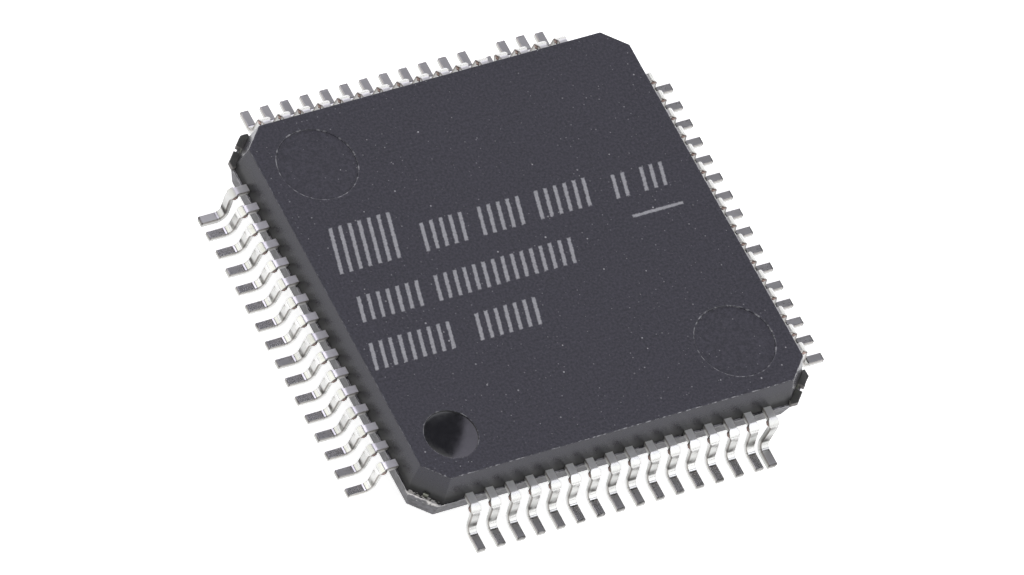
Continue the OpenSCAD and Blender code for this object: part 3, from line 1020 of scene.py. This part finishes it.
# Painted shade on the upper part of the sheared sides, then the grey bands across the bends and
# heel
colour = tone.outputs[2]
for amount, over in ((torn, linear("#A09C98")), (scuffs, linear("#5C5A58"))):
    laid = add(
        tree,
        "ShaderNodeMix",
        {0: amount.outputs[0], 6: colour, 7: over},
        data_type="RGBA",
    )
    colour = laid.outputs[2]
crystalline = add(
    tree, "ShaderNodeBump", {"Height": grown.outputs[0], "Strength": 0.7, "Distance": 0.001 * MM}
)
tooled = add(
    tree,
    "ShaderNodeBump",
    {
        "Height": lines.outputs[0],
        "Strength": 0.15,
        "Distance": 0.001 * MM,
        "Normal": crystalline.outputs[0],
    },
)
surface = add(
    tree,
    "ShaderNodeBsdfPrincipled",
    {
        "Base Color": colour,
        "Metallic": 1.0,
        "Roughness": roughness.outputs[0],
        "Normal": tooled.outputs[0],
    },
)
tree.links.new(surface.outputs[0], out.inputs[0])

# Copper alloy where a cut left it bare: pink-brown in the middle of the cut, tarnished
# nearly black round it
cut_copper, tree, out = new_material("cut_copper_alloy")
place = add(tree, "ShaderNodeTexCoord")
patches = add(
    tree,
    "ShaderNodeTexNoise",
    {"Vector": place.outputs["Object"], "Scale": 9 / MM, "Detail": 2.0},
)
on_strip = add(tree, "ShaderNodeAttribute", attribute_name="strip")
up = add(tree, "ShaderNodeSeparateXYZ", {0: on_strip.outputs["Vector"]})
from_middle = add(tree, "ShaderNodeMath", {0: up.outputs[2]}, operation="ABSOLUTE")
ragged_cut = add(
    tree,
    "ShaderNodeMath",
    {0: patches.outputs[0], 1: 0.03, 2: from_middle.outputs[0]},
    operation="MULTIPLY_ADD",
)
fresh = add(tree, "ShaderNodeMapRange", {0: ragged_cut.outputs[0], 1: 0.055, 2: 0.035})
tone = add(
    tree,
    "ShaderNodeMix",
    {0: fresh.outputs[0], 6: linear("#3B302D"), 7: linear("#A28C84")},
    data_type="RGBA",
)
surface = add(
    tree,
    "ShaderNodeBsdfPrincipled",
    {"Base Color": tone.outputs[2], "Metallic": 0.9, "Roughness": 0.5},
)
tree.links.new(surface.outputs[0], out.inputs[0])

# One stamped lead, laid out along a side by Geometry Nodes
FIRST_SEED = 3
layout = bpy.data.node_groups.new("lead_row", "GeometryNodeTree")
layout.is_modifier = True
face_of = layout.interface
face_of.new_socket("Lead", in_out="INPUT", socket_type="NodeSocketGeometry")
INPUTS = [
    ("Leads", "NodeSocketInt", SIDE_LEADS),
    ("Pitch", "NodeSocketFloat", PITCH * MM),
    ("Turn", "NodeSocketFloat", 0.0),
    ("Inner Share", "NodeSocketFloat", INNER_SHARE),
    ("Fan Start", "NodeSocketFloat", INNER_END * MM),
    ("Fan End", "NodeSocketFloat", FAN_END * MM),
    ("Seed", "NodeSocketInt", FIRST_SEED),
]
sockets = {}
for name, kind, value in INPUTS:
    socket = face_of.new_socket(name, in_out="INPUT", socket_type=kind)
    socket.default_value = value
    sockets[name] = socket.identifier
face_of.new_socket("Row", in_out="OUTPUT", socket_type="NodeSocketGeometry")
given = add(layout, "NodeGroupInput").outputs
last_lead = add(layout, "ShaderNodeMath", {0: given["Leads"], 1: 1.0}, operation="SUBTRACT")
half_row = add(
    layout, "ShaderNodeMath", {0: last_lead.outputs[0], 1: given["Pitch"]}, operation="MULTIPLY"
)
row_start = add(layout, "ShaderNodeMath", {0: half_row.outputs[0], 1: -0.5}, operation="MULTIPLY")
start = add(layout, "ShaderNodeCombineXYZ", {0: row_start.outputs[0]})
stride = add(layout, "ShaderNodeCombineXYZ", {0: given["Pitch"]})
line = add(
    layout,
    "GeometryNodeMeshLine",
    {"Count": given["Leads"], "Start Location": start.outputs[0], "Offset": stride.outputs[0]},
)
placed = add(
    layout,
    "GeometryNodeInstanceOnPoints",
    {"Points": line.outputs[0], "Instance": given["Lead"]},
)
where = add(layout, "GeometryNodeInputPosition")
homed = add(
    layout,
    "GeometryNodeStoreNamedAttribute",
    {"Geometry": placed.outputs[0], "Name": "home", "Value": where.outputs[0]},
    data_type="FLOAT_VECTOR",
    domain="INSTANCE",
)
number = add(layout, "GeometryNodeInputIndex")
numbered = add(
    layout,
    "GeometryNodeStoreNamedAttribute",
    {"Geometry": homed.outputs[0], "Name": "number", "Value": number.outputs[0]},
    data_type="INT",
    domain="INSTANCE",
)
# Each lead is a little duller or brighter than the next
dullness = add(layout, "FunctionNodeRandomValue", {"Seed": given["Seed"]}, data_type="FLOAT")
toned = add(
    layout,
    "GeometryNodeStoreNamedAttribute",
    {"Geometry": numbered.outputs[0], "Name": "dullness", "Value": dullness.outputs["Value"]},
    data_type="FLOAT",
    domain="INSTANCE",
)
real = add(layout, "GeometryNodeRealizeInstances", {0: toned.outputs[0]})
# Inside the resin the leads fan in towards the die
home = add(layout, "GeometryNodeInputNamedAttribute", {0: "home"}, data_type="FLOAT_VECTOR")
home_x = add(layout, "ShaderNodeSeparateXYZ", {0: home.outputs[0]})
position = add(layout, "GeometryNodeInputPosition")
at = add(layout, "ShaderNodeSeparateXYZ", {0: position.outputs[0]})
outwards = add(layout, "ShaderNodeMath", {0: at.outputs[1], 1: -1.0}, operation="MULTIPLY")
fan = add(
    layout,
    "ShaderNodeMapRange",
    {
        0: outwards.outputs[0],
        1: given["Fan Start"],
        2: given["Fan End"],
        3: given["Inner Share"],
        4: 1.0,
    },
)
less = add(layout, "ShaderNodeMath", {0: fan.outputs[0], 1: 1.0}, operation="SUBTRACT")
shift = add(
    layout, "ShaderNodeMath", {0: less.outputs[0], 1: home_x.outputs[0]}, operation="MULTIPLY"
)
shift_x = add(layout, "ShaderNodeCombineXYZ", {0: shift.outputs[0]})
fanned = add(
    layout, "GeometryNodeSetPosition", {"Geometry": real.outputs[0], "Offset": shift_x.outputs[0]}
)
spin = add(layout, "ShaderNodeCombineXYZ", {2: given["Turn"]})
turned_row = add(
    layout, "GeometryNodeTransform", {"Geometry": fanned.outputs[0], "Rotation": spin.outputs[0]}
)
plated = add(
    layout, "GeometryNodeSetMaterial", {"Geometry": turned_row.outputs[0], "Material": tin}
)
is_bare = add(layout, "GeometryNodeInputNamedAttribute", {0: "bare"}, data_type="BOOLEAN")
trimmed = add(
    layout,
    "GeometryNodeSetMaterial",
    {"Geometry": plated.outputs[0], "Selection": is_bare.outputs[0], "Material": cut_copper},
)
add(layout, "NodeGroupOutput", {0: trimmed.outputs[0]})

# Leads knocked out of line, by pin: shift of the foot along the side, and outwards
KNOCKED = {16: (-0.17, 0), 33: (0.045, -0.045), 36: (0, -0.32), 49: (0.09, 0)}
# On each side, how strongly the bends are banded grey and how dull the plating is. Two leads
# are much duller than their neighbours. Only what stands out beyond the resin was knocked,
# and the grey bands of the upper bend start half-way up the leg.
SIDE_BANDS_AND_DULLNESS = {"front": (0.75, 0), "right": (0.4, 0.7), "rear": (0.4, 1.3), "left": (0.12, 0)}
DULLED = {16: 1.5, 49: 3.5}
OUTSIDE, BEND_FROM_Z = 5.2 * MM, 0.4 * MM
stamped = mesh_object("stamped_lead", bm, [tin, cut_copper])
knee_z = (LEAD_Z - SHOULDER_R * (1 - math.cos(turn))) * MM
for side, side_name in enumerate(("front", "right", "rear", "left")):
    row = bpy.data.objects.new("row", stamped.data)
    scene.collection.objects.link(row)
    laid_out = row.modifiers.new("lead_row", "NODES")
    laid_out.node_group = layout
    laid_out[sockets["Turn"]] = math.radians(90 * side)
    laid_out[sockets["Seed"]] = FIRST_SEED + side
    shown = row.evaluated_get(bpy.context.evaluated_depsgraph_get())
    mesh = bpy.data.meshes.new_from_object(shown)
    bpy.data.objects.remove(row)
    first_pin = SIDE_LEADS * side + 1
    vert_pins = [first_pin + d.value for d in mesh.attributes["number"].data]
    spin = Matrix.Rotation(math.radians(90 * side), 3, "Z")
    along, out_of_side = spin @ Vector((1, 0, 0)), spin @ Vector((0, -1, 0))
    for vert, pin in zip(mesh.vertices, vert_pins):
        knock = KNOCKED.get(pin)
        if knock and vert.co.z < knee_z and vert.co.dot(out_of_side) > OUTSIDE:
            share = (knee_z - vert.co.z) / (knee_z - LEAD_T / 2 * MM)
            vert.co += (along * knock[0] + out_of_side * knock[1]) * share * MM
    # The bends of the front leads are banded greyest, and the plating of the rear leads is the
    # dullest
    band_strength, duller = SIDE_BANDS_AND_DULLNESS[side_name]
    for vert, mark in zip(mesh.vertices, mesh.attributes["grey_band"].data):
        if vert.co.z > BEND_FROM_Z:
            mark.value *= band_strength
    for pin, dull_at in zip(vert_pins, mesh.attributes["dullness"].data):
        dull_at.value += duller + DULLED.get(pin, 0)
    leads = bpy.data.objects.new("leads_" + side_name, mesh)
    scene.collection.objects.link(leads)
    pins = range(first_pin, first_pin + SIDE_LEADS, 2)
    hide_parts(*[f"leads_{pin:02d}_{pin + 1:02d}" for pin in pins])
    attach(leads, "root")
bpy.data.objects.remove(stamped)

# ---------------------------------------------------------------- Inside the resin
# The die, its silver epoxy, the die pad with its tie bars, and the gold wires. Only the
# cut ends of the tie bars reach the air, in the notches of the corner webs.
# By slot: the finish, its darker and lighter colour, how metallic and how rough it is. The
# frame and the silver epoxy look satin, the die and the wires shiny, all faintly streaked.
INSIDE = {
    "lead_frame_copper": ("rolled_copper_alloy", "#6E7068", "#8C8E82", 1.0, 0.42),
    "silver_epoxy": ("silver_filled_epoxy", "#8C8C8E", "#9E9EA0", 0.6, 0.5),
    "silicon": ("polished_silicon", "#4A4E58", "#5A5E68", 0.9, 0.18),
    "gold_wire": ("drawn_gold_wire", "#D8A94E", "#E6BC66", 1.0, 0.22),
}
finishes = {}
for slot, (name, dark, light, metallic, rough) in INSIDE.items():
    finishes[slot], tree, out = new_material(name)
    place = add(tree, "ShaderNodeTexCoord")
    streaks = add(tree, "ShaderNodeTexNoise", {"Vector": place.outputs["Object"], "Scale": 6 / MM})
    tone = add(
        tree,
        "ShaderNodeMix",
        {0: streaks.outputs[0], 6: linear(dark), 7: linear(light)},
        data_type="RGBA",
    )
    surface = add(
        tree,
        "ShaderNodeBsdfPrincipled",
        {"Base Color": tone.outputs[2], "Metallic": metallic, "Roughness": rough},
    )
    tree.links.new(surface.outputs[0], out.inputs[0])
for part in frame["record"]["subparts"]:
    if part["material_slot"] in finishes:
        solid = frame["nodes"][part["node"]]
        solid.data.materials.clear()
        solid.data.materials.append(finishes[part["material_slot"]])

# ---------------------------------------------------------------- Size of the dressed part
# The pieces' bounds after dressing, in metres.
low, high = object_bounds()
